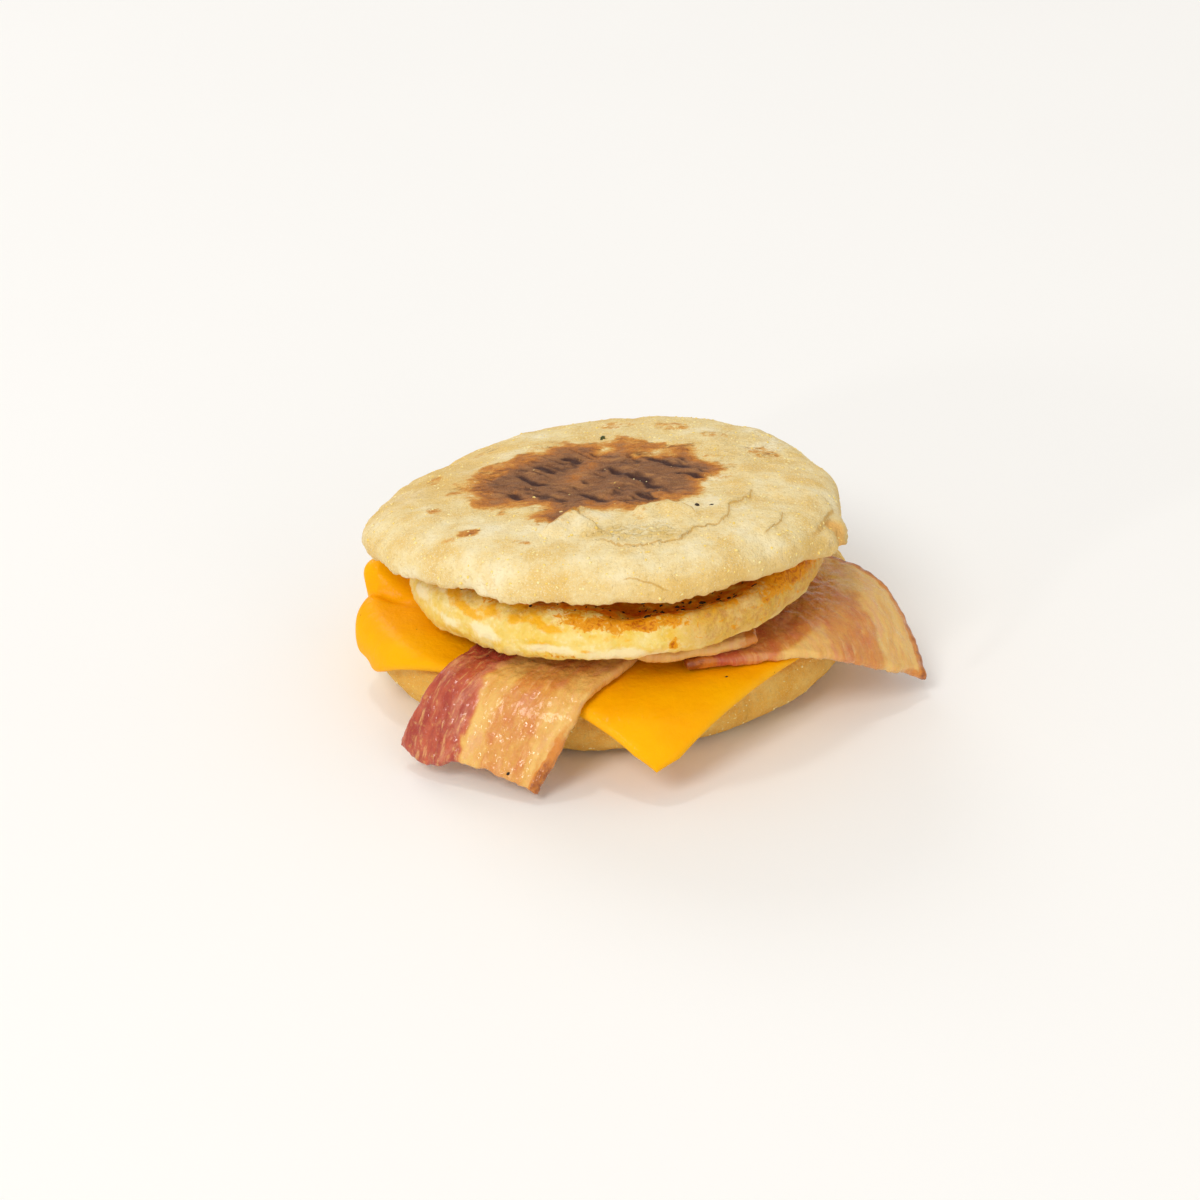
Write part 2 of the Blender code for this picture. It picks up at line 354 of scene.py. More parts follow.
class Look:
    """A material whose nodes are added by short calls. Each call returns the socket that it makes.

    Sizes and depths are in millimetres, and colours are three numbers from 0 to 255.
    """

    def __init__(self, name):
        self.material = bpy.data.materials.new(name)
        self.material.use_nodes = True
        self.tree = self.material.node_tree
        self.shader = self.tree.nodes["Principled BSDF"]
        self.place = self.tree.nodes.new("ShaderNodeTexCoord").outputs["Object"]

    def put(self, socket, value):
        if isinstance(value, bpy.types.NodeSocket):
            self.tree.links.new(value, socket)
        else:
            socket.default_value = tone(*value) if socket.type == "RGBA" else value

    def fill(self, node, **inputs):
        """Gives values or links to inputs named with _ for each space."""
        for name, value in inputs.items():
            self.put(node.inputs[name.replace("_", " ")], value)
        return node

    def node(self, kind, **inputs):
        return self.fill(self.tree.nodes.new("ShaderNode" + kind), **inputs)

    def field(self, name):
        """Numbers that paint() kept on the points of the piece."""
        node = self.node("Attribute")
        node.attribute_name = name
        return node.outputs["Fac"]

    def stretched(self, degrees, stretch):
        """Coordinates in which noise comes out stretched in the direction degrees."""
        turn, scale = (0.0, 0.0, math.radians(-degrees)), (1.0 / stretch, 1.0, 1.0)
        return self.node("Mapping", Vector=self.place, Rotation=turn, Scale=scale).outputs["Vector"]

    def fibres(self, stretch):
        """Coordinates along and across a strip, in which noise comes out stretched along it."""
        along = self.math("MULTIPLY", self.field("along"), 1.0 / stretch)
        return self.node("CombineXYZ", X=along, Y=self.field("across")).outputs["Vector"]

    def noise(self, size, detail=3.0, roughness=0.55, place=None, distortion=0.0):
        node = self.node("TexNoise", Vector=place or self.place, Scale=1.0 / (size * MM), Detail=detail)
        return self.fill(node, Roughness=roughness, Distortion=distortion).outputs["Fac"]

    def cells(self, size):
        """Distance to the nearest of many scattered points."""
        return self.node("TexVoronoi", Vector=self.place, Scale=1.0 / (size * MM)).outputs["Distance"]

    def math(self, operation, *values):
        node = self.node("Math")
        node.operation = operation
        for socket, value in zip(node.inputs, values):
            self.put(socket, value)
        return node.outputs["Value"]

    def shaken(self, value, noise, depth):
        """The value, moved up and down by noise over a range of about depth."""
        return self.math("ADD", value, self.math("MULTIPLY_ADD", noise, depth, -0.5 * depth))

    def rise(self, value, low, high, top=1.0):
        """0 below low, top above high, smooth between."""
        node = self.node("MapRange", Value=value, From_Min=low, From_Max=high, To_Max=top)
        node.interpolation_type = "SMOOTHSTEP"
        return node.outputs["Result"]

    def line(self, name, width):
        """1 along the line whose signed distance in millimetres is the field name, broken up a little."""
        away = self.math("ABSOLUTE", self.shaken(self.field(name), self.noise(2.5, 4.0, 0.5), 1.0))
        return self.math("MULTIPLY", self.rise(away, width, 0.0), self.field(name + "_fade"))

    def ramp(self, value, *stops):
        node = self.node("ValToRGB", Fac=value)
        elements = node.color_ramp.elements
        while len(elements) < len(stops):
            elements.new(0.5)
        for element, (position, colour) in zip(elements, stops):
            element.position = position
            element.color = tone(*colour)
        return node.outputs["Color"]

    def mix(self, share, first, second):
        node = self.node("Mix")
        node.data_type = "RGBA"
        for socket, value in zip((node.inputs["Factor"], *node.inputs[6:8]), (share, first, second)):
            self.put(socket, value)
        return node.outputs[2]

    def cover(self, colour, *layers):
        """The colour under layers of (tint, value, low, high, share), which cover share of it at high."""
        for tint, *limits in layers:
            colour = self.mix(self.rise(*limits), colour, tint)
        return colour

    def bump(self, height, depth, under=None):
        node = self.node("Bump", Distance=depth * MM, Height=height)
        return (self.fill(node, Normal=under) if under else node).outputs["Normal"]

    def wet(self, weight, normal):
        """A thin wet film over everything, with bumps of its own."""
        self.fill(self.shader, Coat_Weight=weight, Coat_Roughness=0.15, Coat_Normal=normal)

    def finish(self, colour, roughness, normal, specular, scatter=0.0, depth=1.0):
        self.fill(self.shader, Base_Color=colour, Roughness=roughness, Normal=normal)
        self.fill(self.shader, Specular_IOR_Level=specular)
        self.fill(self.shader, Subsurface_Weight=scatter, Subsurface_Scale=depth * MM)
        return self.material


def toasted(look, ragged, dust):
    """Crust from light gold to dark brown as ragged goes from 0 to 1, mottled along the grill lines."""
    browned = look.ramp(
        ragged,
        (0.28, (240, 204, 120)),
        (0.40, (230, 172, 86)),
        (0.54, (212, 138, 58)),
        (0.66, (186, 116, 54)),
        (0.80, (164, 110, 68)),
        (1.00, (142, 98, 66)),
    )
    mottle = look.noise(2.0, 6.0, 0.72, look.stretched(STREAK_DEGREES, 2.2))
    return look.cover(
        browned,
        ((204, 146, 88), mottle, 0.50, 0.68, 0.6),
        ((98, 60, 42), mottle, 0.48, 0.34, 0.6),
        ((226, 172, 106), dust, 0.58, 0.72, 0.3),
        ((72, 46, 40), look.shaken(look.field("streak"), mottle, 0.8), 0.0, 0.8, 0.95),
    )


def cut_crumb(look):
    """Open crumb, darker at its holes as painted shade, and toasted where it stands up."""
    crumb = look.noise(2.5, 5.0, 0.6)
    crumb = look.ramp(crumb, (0.32, (214, 150, 72)), (0.5, (238, 200, 128)), (0.7, (250, 228, 176)))
    crumb = look.cover((206, 164, 100), (crumb, look.cells(1.3), 0.0, 0.35))
    return look.cover(crumb, ((184, 116, 54), look.field("ridge"), 0.88, 1.20, 0.75))


def crust_look(material, light, warm, pale):
    """Floury crust that browns with the field toast, with a crumb where the field cut is 1."""
    look = Look(material)
    cloud = look.noise(9.0, 4.0)
    grain = look.noise(0.60, 3.0, 0.6)
    dust = look.noise(0.30, 2.0)
    colour = look.ramp(cloud, (0.34, warm), (0.52, light), (0.66, pale))
    colour = look.cover(
        colour,
        ((238, 198, 106), look.noise(3.5), 0.50, 0.68, 0.5),
        ((218, 180, 102), grain, 0.50, 0.68, 0.55),
        (pale, dust, 0.54, 0.66, 0.7),
    )
    floury = look.math("MULTIPLY", look.field("flour"), look.rise(cloud, 0.36, 0.62, 0.5))
    colour = look.mix(floury, colour, pale)
    # Mixes in painted shade on the wall of the top, darker towards the right, and a deeper yellow tone at
    # the back left of the top.
    colour = look.mix(look.math("MULTIPLY", look.field("baked"), 0.45), colour, (230, 186, 100))
    ragged = look.shaken(look.field("toast"), look.noise(1.8, 6.0, 0.72), 0.8)
    colour = look.cover(colour, (toasted(look, ragged, dust), ragged, 0.24, 0.46))

    beads = look.math("MULTIPLY", look.field("beads"), look.rise(look.noise(1.2), 0.38, 0.62))
    colour = look.mix(look.math("MULTIPLY", beads, 0.6), colour, (234, 194, 98))
    # Painted shade: the creases, folds and tear, and the lower half's crack and seam, are coloured darker
    # along their grooves.
    groove = look.field("crease")
    for name, _, width, _ in CREASES:
        groove = look.math("MAXIMUM", groove, look.line(name, width))
    torn = (240, 188, 108), look.field("torn"), 0.2, 0.8
    colour = look.cover(colour, ((214, 160, 66), groove, 0.1, 1.0, 0.6), torn)
    colour = look.mix(look.field("cut"), colour, cut_crumb(look))

    height = look.math("ADD", look.math("MULTIPLY", grain, 0.6), look.math("MULTIPLY", dust, 0.35))
    sunk = look.math("MULTIPLY_ADD", groove, 0.30, look.math("MULTIPLY", beads, -0.8))
    normal = look.bump(look.math("SUBTRACT", height, sunk), 0.30)
    normal = look.bump(look.noise(1.9, 5.0, 0.66), 0.60, normal)
    return look.finish(colour, look.math("MULTIPLY_ADD", dust, -0.5, 0.95), normal, specular=0.14)


def egg_look():
    """Set egg: pale yellow with whiter and yolkier parts, browned where it met the pan, and darker and
    warmer at its right end, partly from golden browning and partly as painted shade.
    """
    look = Look("egg")

    def patchy(name, size, depth):
        return look.shaken(look.field(name), look.noise(size, 5.0, 0.62), depth)

    cloud = look.noise(6.0, 4.0, 0.6)
    colour = look.ramp(cloud, (0.32, (238, 194, 66)), (0.47, (242, 210, 108)), (0.62, (247, 226, 154)))
    brown = look.shaken(look.field("brown"), look.noise(1.3, 5.0, 0.62, distortion=1.2), 1.7)
    tanned = look.noise(3.0, 4.0, 0.6)
    tanned = look.ramp(tanned, (0.34, (230, 104, 4)), (0.50, (254, 158, 18)), (0.68, (255, 212, 90)))
    colour = look.cover(
        colour,
        ((255, 240, 196), look.noise(1.1), 0.52, 0.72, 0.4),
        # Darker, warmer tone at the right end of the egg: partly golden browning, partly painted shade on
        # the side turned from the light.
        ((208, 148, 54), look.field("warm"), 0.0, 1.0, 0.55),
        ((194, 120, 24), patchy("warm", 1.1, 1.8), 0.80, 1.40, 0.7),
        ((252, 238, 190), patchy("white", 2.4, 1.0), 0.25, 0.65, 0.85),
        ((244, 180, 14), patchy("yolk", 1.8, 1.2), 0.30, 0.7, 0.9),
        ((228, 150, 0), brown, 0.32, 0.56, 0.96),
        ((190, 98, 0), brown, 0.66, 1.00, 0.95),
        (tanned, patchy("dish", 2.2, 0.5), 0.42, 0.60),
    )
    fine = look.noise(0.7, 3.0, 0.6)
    normal = look.bump(look.noise(2.4, 4.0), 0.40, look.bump(fine, 0.22))
    roughness = look.math("MULTIPLY_ADD", fine, 0.35, 0.32)
    return look.finish(colour, roughness, normal, specular=0.15, scatter=0.08, depth=1.5)


def cheese_look():
    """Soft orange-yellow slice, smooth and a little greasy."""
    look = Look("cheese")
    colour = look.ramp(look.noise(12.0), (0.3, (252, 170, 0)), (0.7, (255, 184, 0)))
    # Painted highlight: the rounded edges are paler, where they catch the light.
    edge = (250, 184, 36), look.field("pale"), 0.4, 1.0, 0.35
    colour = look.cover(colour, edge, ((150, 80, 10), look.cells(5.5), 0.035, 0.02, 0.7))
    normal = look.bump(look.noise(1.0, 3.0, 0.6), 0.12, look.bump(look.noise(5.0, 4.0), 0.45))
    look.wet(0.10, look.bump(look.noise(1.8, 2.0), 0.25))
    roughness = look.math("MULTIPLY_ADD", look.noise(4.0), 0.25, 0.35)
    return look.finish(colour, roughness, normal, specular=0.05)


def bacon_look():
    """Fried bacon: fat where the field lean is 0, pink meat round 0.5, dark at 1, and a browned rind. Both
    fields also paint the shade under bacon_middle.
    """
    look = Look("bacon")
    grain = look.noise(1.2, 4.0, 0.6)
    fibre = look.noise(1.1, 4.0, 0.6, look.fibres(4.0))
    cloud = look.noise(3.0, 5.0, 0.6, look.fibres(2.0))
    lean = look.math("MULTIPLY_ADD", cloud, 0.90, look.math("MULTIPLY_ADD", fibre, 0.36, -0.64))
    colour = look.ramp(
        look.math("ADD", lean, look.field("lean")),
        (0.00, (236, 190, 106)),
        (0.10, (230, 176, 92)),
        (0.22, (224, 162, 78)),
        (0.38, (214, 138, 66)),
        (0.56, (204, 112, 62)),
        (0.78, (198, 94, 62)),
        (1.00, (166, 62, 46)),
    )
    rind = look.shaken(look.field("rind"), grain, 0.6)
    colour = look.cover(
        colour,
        ((240, 186, 116), fibre, 0.53, 0.68, 0.6),
        # Pale pink veils over the meat: partly its own streaks of fat, partly painted sheen.
        ((226, 154, 120), look.noise(5.0, 5.0, 0.62, look.fibres(1.8)), 0.50, 0.66, 0.45),
        ((250, 208, 112), grain, 0.55, 0.75, 0.3),
        ((214, 130, 42), rind, 0.30, 0.65, 0.9),
        ((140, 64, 22), rind, 0.80, 1.15, 0.9),
    )
    normal = look.bump(cloud, 0.4, look.bump(look.noise(1.0, 3.0, 0.6), 0.20))
    look.wet(0.6, look.bump(look.noise(1.4, 1.5, 0.5, look.fibres(1.5)), 0.34))
    roughness = look.rise(look.noise(1.4), 0.30, 0.70, 0.6)
    return look.finish(colour, roughness, normal, specular=0.2, scatter=0.05, depth=1.5)


def speck_look(name, colour, other, roughness):
    """A material for tiny grains, which differ a little from each other."""
    look = Look(name)
    normal = look.bump(look.noise(0.2, 2.0), 0.05)
    colour = look.cover(colour, (other, look.noise(0.8, 1.0), 0.4, 0.6))
    return look.finish(colour, roughness, normal, 0.3)


# The muffin halves. Marks on the upper half are in mm from its middle, seen from above.

PATCH = (
    (-30, -2), (-27, 8), (-19, 15), (-14, 21.5), (-9.5, 24.5), (-2, 22), (3, 24.5), (7, 20.5), (11, 14.5),
    (15, 18), (19.5, 11), (23.5, 3.5), (20, -4), (13.5, -12.8), (8, -19.4), (4, -22.5), (-2, -16),
    (-5, -18.7), (-11, -24.7), (-14.3, -21), (-13, -17), (-16, -12), (-20.4, -14.7), (-25, -11),
    (-26.5, -6.5),
)
# Centre, radii, degrees turned and strength
SMALL_SPOTS = (
    ((-26.5, -24.9), (2.2, 2.0), 20, 0.58),
    ((-33.8, -12.1), (2.4, 1.8), -60, 0.46),
    ((-34.5, 9.5), (2.0, 3.4), 0, 0.42),
    ((-17.0, -31.4), (2.4, 1.1), -20, 0.42),
    ((-12.5, -22.5), (2.0, 1.6), 0, 0.44),
    ((-30.2, -26.4), (2.4, 1.0), -20, 0.38),
    ((1.4, 34.9), (4.4, 2.8), 0, 0.36),
    ((12.8, 31.7), (4.8, 3.0), -20, 0.40),
    ((21.2, 24.0), (4.4, 3.0), -30, 0.38),
    ((30.0, 13.0), (5.0, 3.4), -50, 0.40),
    ((-24.0, 26.0), (4.4, 2.8), 40, 0.36),
)
LIGHT_BAND = ((-1.4, 17.3), (-4.3, 7.7), (-7.4, -0.2))
WRINKLES = (
    ((-18.3, 6.9), (-14.4, -0.1), (-11.3, -1.9)),
    ((-10.1, 15.2), (-5.4, 10.4)),
    ((-1.9, 8.5), (3.8, 0.1), (9.4, -4.5)),
    ((-6.3, -5.2), (-2.1, -11.7), (0.5, -13.5)),
    ((-19.7, -4.9), (-16.2, -9.1)),
    ((1.9, 2.9), (7.5, -5.3), (11.2, -7.1)),
    ((6.0, 13.0), (12.0, 6.5), (17.0, 4.0)),
    ((-15.0, 11.0), (-10.0, 6.0)),
    ((4.0, -9.0), (9.0, -14.5)),
    ((12.0, 1.5), (19.0, -2.0)),
)
RIDGE = ((-11.2, -11.2), (-7.8, -15.8), (-4.1, -19.2), (-0.4, -25.3))
TEAR = ((39.6, -11.0), (41.2, -16.5), (39.0, -23.0), (36.8, -29.0))
# Name, how far one side is lifted, how wide the painted shade along its groove is, and the line. The line
# of wall_crease is in mm along the outer wall and up it.
CREASES = (
    ("long_crease", 0.65, 0.34, (
        (28, -6), (26, -14.7), (22, -19.7), (21.8, -25), (19.5, -29), (15.3, -30.4), (12.2, -35),
        (4.1, -37.2), (-6.8, -32.4),
    )),
    ("short_crease", 0.5, 0.26, ((31.8, -22.7), (30.5, -28.0), (27.8, -33))),
    ("left_fold", 1.5, 0.24, ((-13.4, -29), (-11.2, -26.5), (-7.8, -20.7), (-4.9, -24.5), (-2.0, -30))),
    ("right_fold", 1.4, 0.24, ((3.0, -22.9), (6.8, -19.7), (10.5, -18.1), (13.4, -20.7), (16.2, -25.5))),
    ("tear", 0.4, 0.5, TEAR),
    ("wall_crease", 0.15, 0.3, ((-71.0, 5.0), (-69.1, 5.3), (-67.4, 4.8), (-65.3, 4.2), (-62.0, 2.4))),
)
WALL_MM_PER_DEGREE = 0.8
STREAK_DEGREES = -48.0
BASE_STREAK_DEGREES = 20.0


def crumb_relief(points):
    """How far in mm a cut face is torn in or up: pits of several sizes and a rough crumb."""
    deep = pits(points, 3.6) * smooth_step(rough(points, 7, 2, 5.0) * 1.4 + 0.55)
    return 0.35 * rough(points, 2.2, 3, 9.0) - deep - 0.35 * pits(points, 1.5, 3.0)


def streaky(points, degrees, size, stretch):
    """Noise stretched in the direction degrees, as a hot grill marks bread."""
    along, across = turned(points[:, 0], points[:, 1], degrees)
    return rough(np.stack([along, across, points[:, 2]], axis=1), size, 3, 7.0, (stretch, 1.0, 1.0))


def top_toast(points, x, y, wander):
    """How toasted the top is, from its patch and small spots, and the distance to the patch's edge."""
    edge = inside(x + 1.6 * wander, y + 1.6 * rough(points, 6, 4, 17.0), PATCH)
    toast = np.clip(0.42 + edge / 12.0 + 0.30 * rough(points, 8, 3, 19.0), 0.0, 1.0)
    toast *= grows(edge, -5.0, -1.0)
    for centre, radii, degrees, strength in SMALL_SPOTS:
        spot = smooth_step(blob(x + wander, y, centre, radii, degrees) * 0.8 + 0.55)
        toast = np.maximum(toast, strength * spot)
    toast -= 0.26 * bell(to_line(x + wander, y, LIGHT_BAND)[0], 2.4)
    return np.maximum(toast, 0.30 * grows(edge, -9.0, 0.0)), edge


def top_streaks(points, x, y, wander):
    """Dark streaks in the toasted patch: broken thin ones, and the wrinkles."""
    thin = smooth_step(1.0 - np.abs(streaky(points, STREAK_DEGREES, 3.4, 3.6)) * 4.0)
    streak = 0.6 * thin * smooth_step(rough(points, 7, 2, 12.0) * 1.8 + 0.5)
    for line in WRINKLES:
        distance, _, gone = to_line(x + 0.7 * wander, y + 0.7 * wander, line)
        streak = np.maximum(streak, bell(distance, 1.0) * between(gone, 0.0, 0.25, 0.75, 1.0))
    return streak


def top_creases(x, y, along_wall, height, upper, outside):
    """What the creases lift in mm, and for each its signed distance and how far it fades."""
    lifted, fields = np.zeros(len(x)), {}
    for name, lift, _, line in CREASES:
        on_wall, folded = name == "wall_crease", lift > 1.0
        distance, side, gone = to_line(along_wall, height, line) if on_wall else to_line(x, y, line)
        fade = between(gone, 0.0, 0.15, 0.85, 1.0) * (outside if on_wall else upper)
        raised = bell(distance, 3.4) if folded else np.exp(-distance / 2.5)
        lifted += lift * fade * np.where(side > 0, bell(distance, 0.5) * folded, raised)
        fields[name] = np.clip(side * distance, -3.0, 3.0)
        fields[name + "_fade"] = fade
    return lifted, fields


def top_rim(points, angle, rise, at_rim):
    """How far in mm the ragged lower rim comes down, and how far the low wall stands out."""
    degrees = np.degrees(angle)
    around = np.stack([np.cos(angle), np.sin(angle), 0 * angle], axis=1) * TOP_RADIUS
    rag = bumpy(around, (0.40, 9, 3, 2.0), (0.50, 2.2, 5, 5.0))
    rag += 0.8 * between(degrees, 240.6, 241.5, 248.0, 257.0)
    rag -= 0.7 * bell(degrees - 233.0, 1.6)
    raised = between(degrees, 285.0, 297.0, 318.0, 332.0)
    low_wall = falls(rise, 0.37, 0.62)
    flap = between(degrees, 319.0, 328.0, 335.5, 341.5) * low_wall
    flap *= 1.0 + 0.5 * rough(points, 2.0, 4, 27.0)
    out = 0.4 * at_rim * rag + 2.1 * flap + 1.1 * bell(degrees - 186.0, 9.0) * low_wall
    return (rag - 1.2 * raised + 0.6 * flap) * at_rim, out


def make_muffin_top():
    cut = ((0.0, 0.12), (0.4, 0.10), (0.75, 0.06), (0.95, 0.005), (0.988, -0.01))
    wall = ((1.002, 0.05), (1.010, 0.24), (0.998, 0.46), (0.965, 0.65), (0.905, 0.81))
    top = ((0.82, 0.91), (0.68, 0.965), (0.45, 0.99), (0.22, 1.0), (0.0, 1.0))
    profile = [(share, rise * TOP_THICKNESS) for share, rise in cut + wall + top]
    outline = wavy(TOP_RADIUS, TOP_WAVES)
    piece, share, height, angle = round_piece("muffin_top_bread", profile, TOP_MESH, outline)
    points, normals = points_of(piece), normals_of(piece)
    x, y = points[:, 0] / MM, points[:, 1] / MM
    height, rise = height / MM, height / TOP_THICKNESS
    on_cut = falls(share, 0.955, 0.985) * (rise < 0.15)
    outside = 1.0 - on_cut
    on_top = grows(rise, 0.55, 0.85) * outside
    on_wall = falls(rise, 0.42, 0.62) * outside
    along_wall = WALL_MM_PER_DEGREE * from_behind(angle)

    wander = rough(points, 6, 4, 3.0)
    toast, edge = top_toast(points, x, y, wander)
    tanned = bell(along_wall + 77.5, 2.4) * bell(height - 4.4, 1.1) * outside
    toast = np.maximum(toast * on_top, 0.36 * tanned)
    wrinkled = grows(edge, 0.0, 5.0) * on_top
    streak = top_streaks(points, x, y, wander) * wrinkled
    upper = outside * (rise > 0.3)
    lifted, creases = top_creases(x + 0.5 * wander, y + 0.5 * wander, along_wall, height, upper, outside)
    floury = np.maximum(falls(y + 0.25 * x, -30.0, -18.0), bell(np.hypot(x - 33.0, y + 6.0), 13.0))
    flour = floury * outside * (1.0 - 0.85 * on_wall)
    # Painted shade: the wall of the top darkens towards the right, away from the light. The back left of
    # the top takes a deeper yellow tone.
    baked = falls(x, -28.0, -14.0) * grows(y, -14.0, 0.0) * outside
    baked = np.maximum(baked, on_wall * grows(x, -24.0, 26.0))
    distance, side, gone = to_line(x, y, TEAR)
    torn = between(gone, 0.35, 0.55, 0.54, 0.74) * outside
    torn *= bell(distance - 1.4, 1.7) * (side > 0)
    beads = smooth_step(blob(x, y, (4.0, -31.0), (10.0, 4.6), -5.0) + 0.4) * outside

    relief = crumb_relief(points) * on_cut
    bumps = bumpy(points, (0.55, 13, 3, 1.0), (0.22, 4.0, 3, 4.0), (0.05, 0.9, 2, 8.0)) * outside
    bumps += 0.30 * wrinkled * rough(points, 2.6, 3, 2.0) - 0.50 * streak + lifted - 0.9 * torn
    bumps += 0.45 * bell(to_line(x, y, RIDGE)[0], 0.7) * on_top
    bumps -= 1.7 * bell(np.degrees(angle) - 150.0, 26.0) * grows(share, 0.5, 0.9) * outside
    points = pushed(points, normals, bumps + relief)
    down, out = top_rim(points, angle, rise, bell(share - 1.0, 0.05) * bell(height, 2.4))
    points[:, 2] -= MM * down
    points[:, :2] *= 1.0 + MM * out[:, None] / TOP_RADIUS
    move_points(piece, leaning(points, TOP_CENTRE, TOP_LEAN))
    paint(piece, toast=toast, streak=streak, torn=torn, beads=beads, flour=flour, baked=baked)
    paint(piece, cut=on_cut, ridge=relief + 0.9, **creases)
    return piece


def make_muffin_bottom():
    base = ((0.0, 0.0), (0.4, 0.0), (0.72, 0.0), (BASE_SHARE, 0.0001))
    side = ((0.868, 0.0009), (0.93, 0.0026), (0.975, 0.0050), (1.0, BELLY_HEIGHT), (0.996, 0.0104))
    rim = ((0.981, 0.0131), (0.955, BOTTOM_HEIGHT), (0.75, BOTTOM_HEIGHT - 0.0002))
    top = ((0.4, BOTTOM_HEIGHT - 0.0004), (0.0, BOTTOM_HEIGHT - 0.0003))
    outline = wavy(MUFFIN_RADIUS, BOTTOM_WAVES)
    piece, share, height, angle = round_piece(
        "muffin_bottom_bread", base + side + rim + top, BOTTOM_MESH, outline
    )
    points, normals = points_of(piece), normals_of(piece)
    x, y = points[:, 0] / MM, points[:, 1] / MM
    on_cut = falls(share, 0.945, 0.975) * (height > 0.85 * BOTTOM_HEIGHT)
    on_base = falls(share, 0.8, 0.86) * (height < 0.1 * BOTTOM_HEIGHT)
    on_side = (1.0 - on_cut) * (1.0 - on_base)
    height = height / MM

    edge = 1.0 - np.hypot(x + 2, y - 3) / 34.0 + 0.22 * rough(points, 8, 4, 3.0)
    toast = np.clip(0.46 + 1.6 * edge, 0.0, 1.0) * on_base
    streaks = smooth_step(streaky(points, BASE_STREAK_DEGREES, 3.2, 3.4) * 1.9 + 0.12)
    streak = smooth_step(edge * 3) * streaks * on_base
    crack_at = from_behind(angle + np.radians(1.2 * rough(points, 3, 2, 5.0) - 302.0))
    crack = bell(crack_at * 0.84, 0.45) * grows(height, 3.0, 5.0) * on_side
    seam = bell(height - 10.6 - 0.6 * rough(points, 9, 2, 30.0), 0.5) * on_side

    relief = crumb_relief(points) * on_cut
    bumps = bumpy(points, (0.40, 11, 3, 21.0), (0.16, 3.0, 3, 24.0), (0.05, 0.9, 2, 8.0)) * on_side
    points = pushed(points, normals, bumps - 0.45 * crack - 0.22 * seam + relief)
    points[:, 2] = np.maximum(points[:, 2], 0.0)
    move_points(piece, points)
    # Painted shade: the crack, and more faintly the sunken seam, are marked to be coloured darker in their
    # grooves.
    crease = np.maximum(0.8 * crack, 0.25 * seam)
    paint(piece, toast=toast, streak=streak, crease=crease, cut=on_cut, ridge=relief + 0.9)
    return piece


# The egg. Its marks are (degrees round it, mm above its middle, half width, half height, strength).

YOLK_PARTS = (
    (-148, 8.0, 4, 1.2, 0.9),
    (-140, 7.2, 7, 1.0, 0.9),
    (-131, 8.8, 4, 1.3, 0.8),
    (-114, 9.3, 8, 0.9, 0.9),
    (-114, 6.4, 3, 0.7, 0.6),
    (-101, 5.5, 3, 0.7, 0.6),
    (-60, 12.0, 12, 1.0, 0.4),
    (-150, 10.0, 6, 1.2, 0.7),
    (-122, 10.6, 8, 1.0, 0.7),
    (-92, 8.4, 10, 0.9, 0.5),
)
BROWN_PARTS = (
    (-97, 10.9, 6.0, 0.7, 0.8),
    (-86, 10.9, 5.0, 0.9, 1.0),
    (-77, 11.6, 2.0, 0.6, 0.7),
    (-104, 10.6, 4.0, 0.6, 0.6),
    (-76.5, 7.0, 0.8, 1.5, 1.0),
    (-71, 7.9, 1.0, 0.5, 0.5),
    (-48, 10.7, 3.0, 0.8, 0.8),
    (-44, 12.6, 5.0, 0.8, 0.7),
    (-36, 11.6, 4.0, 1.2, 0.9),
    (-22, 12.0, 7.0, 1.6, 0.9),
    (-136, 10.8, 9.0, 1.0, 0.8),
    (-120, 11.4, 6.0, 0.7, 0.6),
    (-108, 3.6, 8.0, 0.5, 0.5),
)
WHITE_PARTS = (
    (-131, 5.1, 4, 1.4, 1.0),
    (-161, 4.5, 4, 1.4, 0.9),
    (-156, 8.0, 5, 1.6, 0.7),
    (-145, 3.6, 6, 1.2, 0.7),
    (-111, 5.0, 6, 1.2, 0.8),
    (-90, 5.2, 10, 1.8, 0.8),
)
DISH = EGG_THICKNESS - EGG_DISH_DEPTH
EGG_UNDER = ((0.0, EGG_HOLLOW), (0.5, EGG_HOLLOW), (0.78, 0.0030), (0.90, 0.0004))
EGG_SIDE = ((0.962, 0.0008), (0.992, 0.0026), (1.0, 0.0048), (0.985, 0.0072), (0.945, 0.0090))
EGG_OVER = ((0.885, 0.0099), (0.82, 0.0095), (0.74, DISH + 0.0006), (0.6, DISH), (0.3, DISH), (0.0, DISH))
OPEN_SIDE = ((0.962, 0.0008), (0.992, 0.0024), (1.0, 0.0044), (0.99, 0.0064), (0.968, 0.0079))
OPEN_OVER = ((0.938, 0.0084), (0.90, 0.0078), (0.82, 0.0066), (0.6, 0.0062), (0.3, 0.0068), (0.0, DISH))


def open_front(angle):
    """1 where the hollow of the egg comes out to its edge and shows."""
    degrees = from_behind(angle)
    return between(degrees, -102.0, -86.0, -54.0, -36.0)


